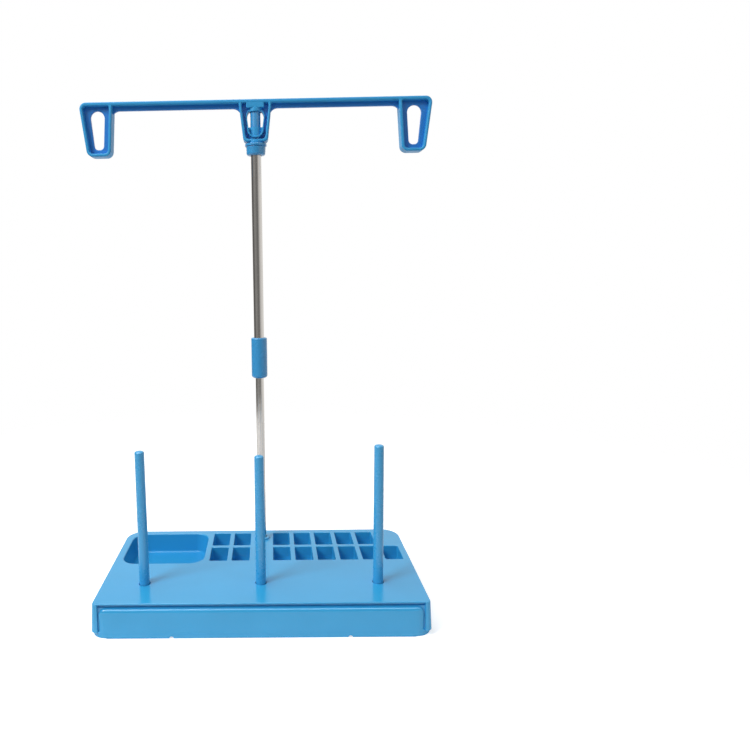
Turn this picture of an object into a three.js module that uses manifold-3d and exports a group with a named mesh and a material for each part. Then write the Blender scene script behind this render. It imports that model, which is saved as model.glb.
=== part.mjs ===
// Thread spool stand for a sewing machine: a low moulded base with a tray, bobbin pockets and
// three spool pins, and a telescopic steel mast that carries a swivelling thread guide bar.
// Millimetres, +Z up, +X to the right along the base, +Y to the back.
// The origin is the middle of the base's underside, on the table.

import * as THREE from 'three';
import { mergeVertices } from 'three/addons/utils/BufferGeometryUtils.js';
import Module from 'manifold-3d';

const wasm = await Module();
wasm.setup();

// Clearances and fits
const seatGap = 0.3;          // between two pieces that rest on or plug into each other
const runningGap = 0.3;       // radial, between pieces that slide or turn

// Base moulding
const plateLength = 216;      // along X
const plateDepth = 114;       // along Y
const baseHeight = 22.6;
const plateThickness = 2.2;
const wallThickness = 2;
const plateEdge = 1.1;        // height of the plate's rim above the groove
const plateEdgeRound = 0.5;
const bodyDraft = 1;          // how far the wall leans out between the plate and its foot
const plateFrontRadius = 2.2;
const plateBackRadius = 13;
const lipReach = 1.3;         // how far the foot lip stands past the plate
const lipHeight = 5;
const lipRound = 1.4;
const lipFrontRadius = 9.5;   // wider than the body's corner, which stands over it
const lipBackRadius = 15;
const bodyFoot = 3.4;         // underside of the body where it stands over the lip's corner
const hollowFrontRadius = 3;

// Raised panel along the front wall
const panelColumn = 4.5;      // body corner left clear at each end of the panel
const panelTopDrop = 3.4;     // plate top to panel top
const panelTopReach = 0.9;    // how far its top edge stands past the plate
const panelFootStep = 0.8;    // how far its foot stands past the lip
const panelCornerRadius = 3.6;
const panelEdgeRound = 0.8;
const panelFootRadius = 0.5;
const grooveDeep = 1.6;       // shadow groove between the plate and the panel
const grooveStep = 0.3;       // wall left standing above the panel
const notchSpacing = 114;     // between the two small finger notches in the foot
const notchRadius = 1.4;

// Accessory tray
const trayLength = 60;
const trayDepth = 52;
const trayDeep = 14;
const trayDraft = 2.6;        // how far each wall comes in from rim to floor
const trayRadius = 11;
const trayFloorRound = 2;
const traySideMargin = 5.6;   // plate edge to tray
const trayBackMargin = 5.6;
const trayWall = 1.6;

// Bobbin pockets: a class 15 bobbin, 11.7 wide and 20.5 across, stands on its rim in each
const bobbinWidth = 11.7;
const bobbinDiameter = 20.5;
const bobbinSideRoom = 1.1;
const bobbinRimRoom = 1.8;
const pocketDeep = 18;
const pocketWall = 1.4;
const pocketWeb = 3.55;       // plate left between two pockets
const pocketBackMargin = 5.6;
const leftColumns = 2;
const leftGroupClear = 9.1;   // mast axis to the left group
const rightBackColumns = 5;   // the round corner leaves no room for a sixth
const rightFrontColumns = 6;
const rightGroupClear = 8.6;  // mast axis to the right group

// Spool pins
const pinRadius = 3.4;
const pinTipRadius = 3.15;
const pinLength = 105;
const pinSpacing = 79;
const pinFrontMargin = 27;    // plate front edge to the pin row
const pinStand = { left: 92.4, middle: 88.5, right: 94.8 };
const pinBossRadius = 5.2;
const pinBossFloor = 3;       // underside of the boss above the table
const bossFloorThickness = 1.7;
const holeChamfer = 0.7;

// Mast
const mastBackMargin = 14.6;  // plate back edge to the mast axis
const mastBossRadius = 5.8;
const socketCollarHeight = 1.4;
const lowerTubeRadius = 3.15;
const lowerTubeLength = 172;
const lowerTubeWall = 0.4;
const upperTubeWall = 0.35;
const upperTubeLength = 158.9;
const tubeOverlap = 15;       // lower tube inside the upper one, drawn right out
const sleeveRadius = 6;
const sleeveBelow = 11;       // sleeve reaching below the upper tube
const sleeveAbove = 19.6;     // and above the upper tube's end
const sleeveRound = 2.2;
const plugHead = 2;
const plugShank = 8;
const collarRadius = 7.1;
const collarSkirt = 5.6;      // collar reaching down over the upper tube
const collarCap = 2.2;
const collarFlangeReach = 0.8;
const collarFlange = 1.7;
const collarRound = 1.6;
const pegRadius = 3.7;

// Thread guide bar, hanging down from the top face of its flange
const barLength = 254.6;
const barDepth = 10;
const barFlange = 2.5;
const barSpan = 5.6;          // height of the straight span
const barWeb = 2.4;
const barRim = 2.2;
const eyeDrop = 38;
const eyeTopWidth = 24.5;
const eyeBottomWidth = 17;
const eyeInnerSlant = 2.7;    // how far the frame's inner side leans outward down to its foot
const eyeCornerRadius = 4.6;
const eyeFootRadius = 4.8;
const spanFillet = 6;
const spanRib = 0.3;          // face left standing between the span's recess and a frame
const slotTopWidth = 11.1;
const slotBottomWidth = 6.6;
const slotHeight = 27.3;
const slotFoot = 5.3;         // slot bottom above the foot of the eyelet frame
const slotInnerMargin = 6;    // slot to the frame's inner side
const slotEndShare = 0.46;    // corner radius of a slot as a share of its width
const hubDrop = 29.5;         // top face to the centre bracket's foot
const hubTopHalf = 11.8;
const hubFootHalf = 8.8;
const hubFootRadius = 3;
const hubFootRim = 2;
const hubRecessTopRadius = 4;
const hubRecessFootRadius = 2.4;
const hubRingRadius = 5.8;
const hubStep = 0.7;          // bearing ring standing below the bracket's foot
const cupHeight = 11;         // height of the lower bearing
const cupCover = 0.7;         // wall left in front of the peg there
const cupRimRise = 0.6;       // border of the cup above the bar's faces
const windowHalf = 6.8;
const windowFoot = 3.8;       // window bottom above the hub's foot
const windowTopShare = 0.8;   // corner radius at the top, as a share of the half width
const windowFootShare = 0.8;  // half width at the foot, as a share of that at the top
const windowFootRadiusShare = 0.72;
const windowNeckCut = 1.8;    // how far the window reaches up round the neck
const windowLip = 1;
const windowLipRise = 1.5;    // lip of the window above the web
const blockWidth = 12.8;
const blockHeight = 3.4;
const blockEdge = 0.6;
const neckRadius = 5;
const neckHeight = 2.4;
const pegEndRoom = 0.5;

// Smoothness
const cornerSteps = 7;
const chordError = 0.06;
const roundSteps = 32;

// Colours
const plasticBlue = 0x5fb0e8;
const barBlue = 0x3f86d2;
const steelGrey = 0xb9bab8;
const plugGrey = 0xd8dadc;

// Derived places
const mastY = plateDepth / 2 - mastBackMargin;
const pinY = -plateDepth / 2 + pinFrontMargin;
const pocketWidth = bobbinWidth + bobbinSideRoom;
const pocketLength = bobbinDiameter + bobbinRimRoom;
const pocketPitch = pocketWidth + pocketWeb;
const rowPitch = pocketLength + pocketWeb;
const pocketBackY = plateDepth / 2 - pocketBackMargin;
const socketFloor = pinBossFloor + bossFloorThickness;
const mastFoot = socketFloor + seatGap;
const lowerTubeTop = mastFoot + lowerTubeLength;
const upperTubeRadius = lowerTubeRadius + runningGap + upperTubeWall;
const upperTubeFoot = lowerTubeTop - tubeOverlap;
const upperTubeTop = upperTubeFoot + upperTubeLength;
const collarTop = upperTubeTop + seatGap + collarCap;
const barTop = collarTop + seatGap + hubStep + hubDrop;

// Drop everything but the positions, weld equal corners and hand the mesh to the solid library.
function solid(geometry) {
  const bare = geometry.clone();
  bare.deleteAttribute('normal');
  bare.deleteAttribute('uv');
  const welded = mergeVertices(bare, 1e-4);
  const corners = welded.index.array;
  const triangles = [];
  for (let i = 0; i < corners.length; i += 3) {
    const [a, b, c] = [corners[i], corners[i + 1], corners[i + 2]];
    if (a !== b && b !== c && c !== a) {
      triangles.push(a, b, c);
    }
  }
  return new wasm.Manifold(new wasm.Mesh({
    numProp: 3,
    vertProperties: new Float32Array(welded.attributes.position.array),
    triVerts: new Uint32Array(triangles),
  }));
}

// Read a finished solid back as a geometry.
function geometryOf(body) {
  const result = body.getMesh();
  const geometry = new THREE.BufferGeometry();
  geometry.setAttribute('position', new THREE.BufferAttribute(result.vertProperties, 3));
  geometry.setIndex(new THREE.BufferAttribute(result.triVerts, 1));
  return geometry;
}

function meshOf(name, geometry, colour, roughness, metalness) {
  geometry.computeVertexNormals();
  const material = new THREE.MeshStandardMaterial({ color: colour, roughness, metalness });
  const mesh = new THREE.Mesh(geometry, material);
  mesh.name = name;
  return mesh;
}

// Join a list of solids into one.
function joined(bodies) {
  return bodies.reduce((all, body) => all.add(body));
}

// Take each of a list of solids out of a body.
function cutBy(body, tools) {
  return tools.reduce((rest, tool) => rest.subtract(tool), body);
}

// One level of a loft: a rectangle with a radius at each corner, counter-clockwise at height z.
// box is [left, right, front, back] and radii is [front left, front right, back right, back left].
function roundedRing([left, right, front, back], radii, z) {
  const corners = [
    [left, front, 1, 1, Math.PI],
    [right, front, -1, 1, 1.5 * Math.PI],
    [right, back, -1, -1, 0],
    [left, back, 1, -1, 0.5 * Math.PI],
  ];
  const ring = [];
  corners.forEach(([x, y, inX, inY, start], corner) => {
    const radius = radii[corner];
    for (let step = 0; step <= cornerSteps; step += 1) {
      const angle = start + (step / cornerSteps) * 0.5 * Math.PI;
      ring.push(new THREE.Vector3(
        x + inX * radius + radius * Math.cos(angle),
        y + inY * radius + radius * Math.sin(angle),
        z,
      ));
    }
  });
  return ring;
}

// Close a body over a stack of rings that have equally many points.
function loft(rings) {
  const count = rings[0].length;
  const positions = rings.flat().flatMap((point) => [point.x, point.y, point.z]);
  const index = [];
  for (let level = 0; level + 1 < rings.length; level += 1) {
    for (let i = 0; i < count; i += 1) {
      const a = level * count + i;
      const b = level * count + ((i + 1) % count);
      index.push(a, b, b + count, a, b + count, a + count);
    }
  }
  const lastRing = (rings.length - 1) * count;
  const flat = rings[0].map((point) => new THREE.Vector2(point.x, point.y));
  for (const [a, b, c] of THREE.ShapeUtils.triangulateShape(flat, [])) {
    index.push(a, c, b);
    index.push(a + lastRing, b + lastRing, c + lastRing);
  }
  const geometry = new THREE.BufferGeometry();
  geometry.setAttribute('position', new THREE.Float32BufferAttribute(positions, 3));
  geometry.setIndex(index);
  return geometry;
}

// Points of an arc, as many as keep the chords within chordError of it.
function arcPoints(centreX, centreY, radius, from, sweep) {
  const stride = 2 * Math.acos(1 - Math.min(chordError / radius, 0.5));
  const steps = Math.max(2, Math.ceil(Math.abs(sweep) / stride));
  return Array.from({ length: steps + 1 }, (unused, step) => {
    const angle = from + (step / steps) * sweep;
    return new THREE.Vector2(centreX + radius * Math.cos(angle), centreY + radius * Math.sin(angle));
  });
}

// A closed polygon whose corners [x, y, radius] are rounded by arcs.
function roundedPolygon(corners) {
  const points = corners.flatMap(([x, y, radius], i) => {
    const corner = new THREE.Vector2(x, y);
    if (radius === 0) {
      return [corner];
    }
    const [beforeX, beforeY] = corners[(i + corners.length - 1) % corners.length];
    const [afterX, afterY] = corners[(i + 1) % corners.length];
    const back = new THREE.Vector2(beforeX - x, beforeY - y).normalize();
    const ahead = new THREE.Vector2(afterX - x, afterY - y).normalize();
    const half = Math.acos(back.dot(ahead)) / 2;
    const middle = back.clone().add(ahead).normalize();
    const centre = corner.clone().addScaledVector(middle, radius / Math.sin(half));
    const start = corner.clone().addScaledVector(back, radius / Math.tan(half)).sub(centre);
    const turn = Math.sign(ahead.cross(back)) * (Math.PI - 2 * half);
    return arcPoints(centre.x, centre.y, radius, start.angle(), turn);
  });
  return new THREE.Shape(points);
}

// Extrude a shape drawn in X and Z along Y, between two depths.
function slabAlongY(shape, front, back) {
  const geometry = new THREE.ExtrudeGeometry(shape, { depth: back - front, bevelEnabled: false });
  geometry.rotateX(Math.PI / 2);
  geometry.translate(0, back, 0);
  return solid(geometry);
}

// A round bar about a vertical axis, from one height to another.
function column(radius, x, y, foot, top) {
  const geometry = new THREE.CylinderGeometry(radius, radius, top - foot, roundSteps);
  geometry.rotateX(Math.PI / 2);
  geometry.translate(x, y, (foot + top) / 2);
  return solid(geometry);
}

// A cone widening upwards, for the chamfer of a hole.
function chamferCone(radius, x, y, top) {
  const over = 0.5;
  const wide = radius + holeChamfer + over;
  const geometry = new THREE.CylinderGeometry(wide, radius, holeChamfer + over, roundSteps);
  geometry.rotateX(Math.PI / 2);
  geometry.translate(x, y, top + over - (holeChamfer + over) / 2);
  return solid(geometry);
}

// Turn a closed profile of [radius, height] points about the vertical axis at x, y.
function turned(profile, x, y) {
  const points = [...profile, profile[0]].map(([radius, height]) => new THREE.Vector2(radius, height));
  const geometry = new THREE.LatheGeometry(points, roundSteps);
  geometry.rotateX(Math.PI / 2);
  geometry.translate(x, y, 0);
  return geometryOf(solid(geometry));
}

// Points of a quarter circle in a profile, between two angles in degrees.
function profileArc(centreRadius, centreHeight, radius, fromDegrees, toDegrees) {
  const steps = 5;
  return Array.from({ length: steps + 1 }, (unused, step) => {
    const degrees = fromDegrees + (step / steps) * (toDegrees - fromDegrees);
    const angle = THREE.MathUtils.degToRad(degrees);
    return [centreRadius + radius * Math.cos(angle), centreHeight + radius * Math.sin(angle)];
  });
}

// The base's outline, grown or drawn in by reach from the plate's edge.
function bodyRing(reach, frontRadius, backRadius, z) {
  const halfX = plateLength / 2 + reach;
  const halfY = plateDepth / 2 + reach;
  const radii = [frontRadius, frontRadius, backRadius, backRadius];
  return roundedRing([-halfX, halfX, -halfY, halfY], radii, z);
}

// The foot lip, with a rounded shoulder.
function baseLip() {
  const rings = [bodyRing(lipReach, lipFrontRadius, lipBackRadius, 0)];
  const steps = 4;
  for (let step = 0; step <= steps; step += 1) {
    const angle = (step / steps) * 0.5 * Math.PI;
    const inset = lipRound * (1 - Math.cos(angle));
    const z = lipHeight - lipRound * (1 - Math.sin(angle));
    rings.push(bodyRing(lipReach - inset, lipFrontRadius - inset, lipBackRadius - inset, z));
  }
  return solid(loft(rings));
}

// The body above the lip: drafted walls and the plate, with a rounded edge.
function baseBody() {
  const crown = plateEdgeRound;
  const footFront = plateFrontRadius + bodyDraft;
  const footBack = plateBackRadius + bodyDraft;
  return solid(loft([
    bodyRing(bodyDraft, footFront, footBack, bodyFoot),
    bodyRing(0, plateFrontRadius, plateBackRadius, baseHeight - crown),
    bodyRing(-crown, plateFrontRadius - crown, plateBackRadius - crown, baseHeight),
  ]));
}

// The hollow under the base, open at the table.
function baseHollow() {
  const back = plateBackRadius - wallThickness;
  return solid(loft([
    bodyRing(-wallThickness, hollowFrontRadius, back, -1),
    bodyRing(-wallThickness, hollowFrontRadius, back, baseHeight - plateThickness),
  ]));
}

// A box across the front between the corner columns, from one depth behind the plate's edge to
// another, drawn in at both ends by inset.
function frontBar(inset, from, to, foot, top) {
  const half = plateLength / 2 - panelColumn - inset;
  const bar = new THREE.BoxGeometry(2 * half, to - from, top - foot);
  bar.translate(0, (from + to - plateDepth) / 2, (foot + top) / 2);
  return solid(bar);
}

// The front panel as a block drawn in by inset; its face slopes out from its top edge to the foot.
function frontPanel(inset, foot) {
  const half = plateLength / 2 - panelColumn - inset;
  const top = baseHeight - panelTopDrop - inset;
  const radius = panelCornerRadius - inset;
  const footReach = lipReach + panelFootStep;
  const slope = (footReach - panelTopReach) / (baseHeight - panelTopDrop);
  const rear = plateDepth / 2 - wallThickness - 1;
  const faceDepth = (height) => plateDepth / 2 + footReach - inset - slope * height;
  const ringAt = (shrink, depthAt) => roundedRing(
    [-half + shrink, half - shrink, foot, top - shrink],
    [panelFootRadius, panelFootRadius, radius - shrink, radius - shrink],
    0,
  ).map((point) => new THREE.Vector3(point.x, point.y, depthAt(point.y)));
  const geometry = loft([
    ringAt(0, () => rear),
    ringAt(0, (height) => faceDepth(height) - panelEdgeRound),
    ringAt(panelEdgeRound * 0.3, (height) => faceDepth(height) - panelEdgeRound * 0.3),
    ringAt(panelEdgeRound, faceDepth),
  ]);
  geometry.rotateX(Math.PI / 2);
  return solid(geometry);
}

// The tray's form at a wall distance outside its inner face: drafted walls and a rounded floor.
function trayForm(grow, rimZ) {
  const left = -plateLength / 2 + traySideMargin;
  const back = plateDepth / 2 - trayBackMargin;
  const box = [left, left + trayLength, back - trayDepth, back];
  const floorZ = baseHeight - trayDeep;
  const ringAt = (drawIn, z) => {
    const shift = drawIn - grow;
    const moved = [box[0] + shift, box[1] - shift, box[2] + shift, box[3] - shift];
    const radius = trayRadius + grow - drawIn * 0.5;
    return roundedRing(moved, [radius, radius, radius, radius], z);
  };
  const steps = 3;
  const rings = [];
  for (let step = 0; step <= steps; step += 1) {
    const angle = (step / steps) * 0.5 * Math.PI;
    const drawIn = trayDraft + trayFloorRound * (1 - Math.sin(angle));
    rings.push(ringAt(drawIn, floorZ - grow + trayFloorRound * (1 - Math.cos(angle))));
  }
  rings.push(ringAt(0, rimZ));
  return solid(loft(rings));
}

// A bobbin pocket's form: upright walls closed below by a half cylinder that cradles the bobbin.
function pocketForm(grow, column_, row, top) {
  const radius = pocketLength / 2 + grow;
  const centreZ = baseHeight - pocketDeep + pocketLength / 2;
  const centreY = pocketBackY - pocketLength / 2 - row * rowPitch;
  const shape = new THREE.Shape([
    new THREE.Vector2(radius, top),
    new THREE.Vector2(-radius, top),
    ...arcPoints(0, centreZ, radius, Math.PI, Math.PI),
  ]);
  const depth = pocketWidth + 2 * grow;
  const geometry = new THREE.ExtrudeGeometry(shape, { depth, bevelEnabled: false });
  geometry.rotateX(Math.PI / 2);
  geometry.rotateZ(Math.PI / 2);
  geometry.translate(column_ - grow, centreY, 0);
  return solid(geometry);
}

// Left edge and row of every pocket.
function pocketPlaces() {
  const places = [];
  for (let row = 0; row < 2; row += 1) {
    for (let i = 0; i < leftColumns; i += 1) {
      places.push([-leftGroupClear - pocketWidth - i * pocketPitch, row]);
    }
    const columns = row === 0 ? rightBackColumns : rightFrontColumns;
    for (let i = 0; i < columns; i += 1) {
      places.push([rightGroupClear + i * pocketPitch, row]);
    }
  }
  return places;
}

function pinPlaces() {
  return { left: -pinSpacing, middle: 0, right: pinSpacing };
}

// The whole base as one moulding.
function makeBase() {
  const over = 1;
  const plateUnder = baseHeight - plateThickness / 2;
  const places = pocketPlaces();
  const underTable = new THREE.BoxGeometry(2 * plateLength, 2 * plateDepth, 4 * over);
  underTable.translate(0, 0, -2 * over);
  const shell = cutBy(joined([baseLip(), baseBody(), frontPanel(0, -over)]), [
    baseHollow(),
    frontPanel(wallThickness, -2 * over),
    solid(underTable),
  ]);
  const grooveFoot = baseHeight - panelTopDrop + grooveStep;
  const grooveTop = baseHeight - plateEdge;
  const backing = frontBar(0, grooveDeep, grooveDeep + wallThickness, grooveFoot - over, plateUnder);
  const groove = frontBar(panelCornerRadius / 2, -over, grooveDeep, grooveFoot, grooveTop);
  const bosses = Object.values(pinPlaces())
    .map((x) => column(pinBossRadius, x, pinY, pinBossFloor, plateUnder));
  const mastBoss = column(mastBossRadius, 0, mastY, pinBossFloor, baseHeight + socketCollarHeight);
  const outsides = places.map(([x, row]) => pocketForm(pocketWall, x, row, plateUnder));
  const filled = joined([
    shell, backing, trayForm(trayWall, plateUnder), ...outsides, ...bosses, mastBoss,
  ]);
  const pinHole = pinRadius + runningGap;
  const mastHole = lowerTubeRadius + runningGap;
  const holes = Object.values(pinPlaces()).flatMap((x) => [
    column(pinHole, x, pinY, socketFloor, baseHeight + over),
    chamferCone(pinHole, x, pinY, baseHeight),
  ]);
  const collarTopZ = baseHeight + socketCollarHeight;
  holes.push(column(mastHole, 0, mastY, socketFloor, collarTopZ + over));
  holes.push(chamferCone(mastHole, 0, mastY, collarTopZ));
  const insides = places.map(([x, row]) => pocketForm(0, x, row, baseHeight + over));
  const notches = [-1, 1].map((side) => {
    const circle = arcPoints((side * notchSpacing) / 2, 0, notchRadius, 0, 2 * Math.PI);
    const shape = new THREE.Shape(circle.slice(1));
    const front = -plateDepth / 2 - lipReach;
    return slabAlongY(shape, front - over, front + wallThickness + over);
  });
  return cutBy(filled, [groove, trayForm(0, baseHeight + over), ...insides, ...holes, ...notches]);
}

// A moulded pin with a chamfered foot, a slight taper and a domed tip.
function makePin(side) {
  const foot = baseHeight + pinStand[side] - pinLength;
  const chamfer = 0.8;
  const domeFoot = foot + pinLength - pinTipRadius * 0.8;
  const dome = profileArc(0, 0, 1, 0, 90)
    .map(([across, up]) => [pinTipRadius * across, domeFoot + pinTipRadius * 0.8 * up]);
  const profile = [
    [0, foot],
    [pinRadius - chamfer, foot],
    [pinRadius, foot + chamfer],
    [pinRadius, baseHeight + 2],
    ...dome.slice(0, -1),
    [0, foot + pinLength],
  ];
  return turned(profile, pinPlaces()[side], pinY);
}

// A thin tube between two heights.
function tube(outer, wall, foot, top) {
  const edge = 0.12;
  return turned([
    [outer - wall, foot],
    [outer - edge, foot],
    [outer, foot + edge],
    [outer, top - edge],
    [outer - edge, top],
    [outer - wall, top],
  ], 0, mastY);
}

// Moulded joint sleeve: a step in its bore seats the upper tube, and its lower bore guides the
// lower tube.
function makeSleeve() {
  const foot = upperTubeFoot - sleeveBelow;
  const top = upperTubeFoot + sleeveAbove;
  const step = upperTubeFoot - seatGap;
  const lowBore = lowerTubeRadius + runningGap;
  const highBore = upperTubeRadius + seatGap;
  const mouth = 0.6;
  return turned([
    [lowBore + mouth, foot],
    ...profileArc(sleeveRadius - sleeveRound, foot + sleeveRound, sleeveRound, -90, 0),
    [sleeveRadius, top - mouth],
    [sleeveRadius - mouth, top],
    [highBore, top],
    [highBore, step],
    [lowBore, step],
    [lowBore, foot + mouth],
  ], 0, mastY);
}

// Plug in the lower tube's open top, which keeps that end centred in the upper tube.
function makePlug() {
  const seat = lowerTubeTop + seatGap;
  const shank = lowerTubeRadius - lowerTubeWall - seatGap;
  const edge = 0.5;
  return turned([
    [0, seat - plugShank],
    [shank - edge, seat - plugShank],
    [shank, seat - plugShank + edge],
    [shank, seat],
    [lowerTubeRadius, seat],
    [lowerTubeRadius, seat + plugHead - edge],
    [lowerTubeRadius - edge, seat + plugHead],
    [0, seat + plugHead],
  ], 0, mastY);
}

// Collar over the upper tube's end, with a flange on top and the peg that the guide turns on.
function makeCollar() {
  const foot = upperTubeTop - collarSkirt;
  const bore = upperTubeRadius + seatGap;
  const flangeFoot = collarTop - collarFlange;
  const flangeEdge = 0.4;
  const groove = 0.5;
  const pegTop = barTop - barFlange - pegEndRoom;
  const pegChamfer = 0.9;
  return turned([
    [bore, foot],
    ...profileArc(collarRadius - collarRound, foot + collarRound, collarRound, -90, 0),
    [collarRadius, flangeFoot - groove],
    [collarRadius - groove, flangeFoot],
    [collarRadius + collarFlangeReach, flangeFoot],
    [collarRadius + collarFlangeReach, collarTop - flangeEdge],
    [collarRadius + collarFlangeReach - flangeEdge, collarTop],
    [pegRadius, collarTop],
    [pegRadius, pegTop - pegChamfer],
    [pegRadius - pegChamfer, pegTop],
    [0, pegTop],
    [0, upperTubeTop + seatGap],
    [bore, upperTubeTop + seatGap],
  ], 0, mastY);
}

// Where the inner side of an eyelet frame stands, at a drop below the bar's top.
function eyeInnerAt(drop) {
  return barLength / 2 - eyeTopWidth + (eyeInnerSlant * drop) / eyeDrop;
}

// The guide bar's silhouette in X and Z, with its top face at barTop.
function barSilhouette() {
  const eyeFoot = eyeInnerAt(eyeDrop);
  const half = [
    [barLength / 2, barTop, eyeCornerRadius],
    [eyeFoot + eyeBottomWidth, barTop - eyeDrop, eyeFootRadius],
    [eyeFoot, barTop - eyeDrop, eyeFootRadius],
    [eyeInnerAt(barSpan), barTop - barSpan, spanFillet],
    [hubTopHalf, barTop - barSpan, spanFillet],
    [hubFootHalf, barTop - hubDrop, hubFootRadius],
  ];
  const mirrored = half.map(([x, z, radius]) => [-x, z, radius]).reverse();
  return roundedPolygon([...half, ...mirrored].reverse());
}

// Recess in one eyelet frame, inside its rim.
function eyeRecess(side) {
  const lean = (eyeTopWidth - eyeBottomWidth - eyeInnerSlant) / eyeDrop;
  const outerAt = (drop) => barLength / 2 - barRim - lean * drop;
  const foot = eyeDrop - barRim;
  const corners = [
    [eyeInnerAt(barFlange) + barRim, barTop - barFlange, 1],
    [eyeInnerAt(foot) + barRim, barTop - foot, eyeFootRadius - barRim],
    [outerAt(foot), barTop - foot, eyeFootRadius - barRim],
    [outerAt(barFlange), barTop - barFlange, eyeCornerRadius - barRim],
  ];
  return roundedPolygon(corners.map(([x, z, radius]) => [side * x, z, radius]));
}

// Outline of an eyelet slot, narrower at its foot.
function slotShape(side) {
  const foot = eyeDrop - slotFoot;
  const top = foot - slotHeight;
  const footInner = eyeInnerAt(foot) + slotInnerMargin;
  const topInner = eyeInnerAt(top) + slotInnerMargin;
  const corners = [
    [topInner, barTop - top, slotTopWidth * slotEndShare],
    [footInner, barTop - foot, slotBottomWidth * slotEndShare],
    [footInner + slotBottomWidth, barTop - foot, slotBottomWidth * slotEndShare],
    [topInner + slotTopWidth, barTop - top, slotTopWidth * slotEndShare],
  ];
  return roundedPolygon(corners.map(([x, z, radius]) => [side * x, z, radius]));
}

// Recess inside the rims of the tapered centre bracket.
function hubRecess() {
  const lean = (hubTopHalf - hubFootHalf) / (hubDrop - barSpan);
  const halfAt = (drop) => hubTopHalf - barRim - lean * (drop - barSpan);
  const foot = hubDrop - hubFootRim;
  const topHalf = hubTopHalf - barRim;
  return roundedPolygon([
    [-topHalf, barTop - barFlange, 0.5],
    [-topHalf, barTop - barSpan, hubRecessTopRadius],
    [-halfAt(foot), barTop - foot, hubRecessFootRadius],
    [halfAt(foot), barTop - foot, hubRecessFootRadius],
    [topHalf, barTop - barSpan, hubRecessTopRadius],
    [topHalf, barTop - barFlange, 0.5],
  ]);
}

// Round-ended window in the centre bracket, through which the peg shows.
function windowShape(grow) {
  const half = windowHalf + grow;
  const foot = barTop - hubDrop + windowFoot - grow;
  const top = barTop - barFlange - blockHeight - neckHeight + windowNeckCut + grow;
  const footHalf = half * windowFootShare;
  return roundedPolygon([
    [-half, top, half * windowTopShare],
    [-footHalf, foot, half * windowFootRadiusShare],
    [footHalf, foot, half * windowFootRadiusShare],
    [half, top, half * windowTopShare],
  ]);
}

// The lower bearing: a cup that closes the window's lower part in front of the peg and behind it,
// with a raised border, over a small ring that bears on the collar.
function hubBearing() {
  const shelf = pegRadius + runningGap + cupCover;
  const border = barDepth / 2 + cupRimRise;
  const wide = border + 1;
  const foot = barTop - hubDrop - hubStep;
  const below = new THREE.BoxGeometry(4 * windowHalf, 2 * wide, cupHeight);
  below.translate(0, 0, foot + cupHeight / 2);
  const cup = cutBy(slabAlongY(windowShape(windowLip), -border, border), [
    slabAlongY(windowShape(0), -wide, -shelf),
    slabAlongY(windowShape(0), shelf, wide),
  ]).intersect(solid(below));
  return cup.add(column(hubRingRadius, 0, 0, foot, foot + hubStep + hubFootRim / 2));
}

// The thread guide bar as one moulding: flanged span, two eyelet frames and the centre bracket.
function makeGuideBar() {
  const over = 1;
  const face = barDepth / 2;
  const web = barWeb / 2;
  const lipFace = web + windowLipRise;
  const wide = face + over;
  const bothFaces = (shape) => [
    slabAlongY(shape, -face - over, -web),
    slabAlongY(shape, web, face + over),
  ];
  const spanFoot = barSpan + spanFillet;
  const spanRecess = (side) => roundedPolygon([
    [side * hubTopHalf, barTop - barFlange, 0],
    [side * hubTopHalf, barTop - spanFoot, 0],
    [side * (eyeInnerAt(spanFoot) - spanRib), barTop - spanFoot, 0],
    [side * (eyeInnerAt(barFlange) - spanRib), barTop - barFlange, 0],
  ]);
  let bar = slabAlongY(barSilhouette(), -face, face);
  bar = cutBy(bar, [
    ...[-1, 1].flatMap((side) => bothFaces(spanRecess(side))),
    ...[-1, 1].flatMap((side) => bothFaces(eyeRecess(side))),
    ...bothFaces(hubRecess()),
  ]);
  const blockFoot = barTop - barFlange - blockHeight;
  const block = roundedPolygon([
    [-blockWidth / 2, barTop - barFlange / 2, 0],
    [-blockWidth / 2, blockFoot, blockEdge],
    [blockWidth / 2, blockFoot, blockEdge],
    [blockWidth / 2, barTop - barFlange / 2, 0],
  ]);
  bar = joined([
    bar,
    slabAlongY(windowShape(windowLip), -lipFace, lipFace),
    slabAlongY(block, -face, face),
  ]).subtract(slabAlongY(windowShape(0), -wide, wide));
  const neck = column(neckRadius, 0, 0, blockFoot - neckHeight, blockFoot + over);
  const boreFoot = barTop - hubDrop - hubStep - over;
  return cutBy(joined([bar, hubBearing(), neck]), [
    ...[-1, 1].map((side) => slabAlongY(slotShape(side), -wide, wide)),
    column(pegRadius + runningGap, 0, 0, boreFoot, barTop - barFlange),
  ]).translate([0, mastY, 0]);
}

// The stand, with the base at the root and the mast's pieces stacked on its axis.
const stand = new THREE.Group();
stand.add(meshOf('base', geometryOf(makeBase()), plasticBlue, 0.28, 0));
for (const side of Object.keys(pinStand)) {
  stand.add(meshOf(`spool_pin_${side}`, makePin(side), plasticBlue, 0.35, 0));
}
const lowerTube = tube(lowerTubeRadius, lowerTubeWall, mastFoot, lowerTubeTop);
const upperTube = tube(upperTubeRadius, upperTubeWall, upperTubeFoot, upperTubeTop);
stand.add(meshOf('mast_lower_tube', lowerTube, steelGrey, 0.22, 1));
stand.add(meshOf('mast_stop_plug', makePlug(), plugGrey, 0.5, 0));
stand.add(meshOf('mast_sleeve', makeSleeve(), plasticBlue, 0.3, 0));
stand.add(meshOf('mast_upper_tube', upperTube, steelGrey, 0.22, 1));
stand.add(meshOf('mast_top_collar', makeCollar(), barBlue, 0.3, 0));
stand.add(meshOf('thread_guide_bar', geometryOf(makeGuideBar()), barBlue, 0.3, 0));

export default stand;
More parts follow.
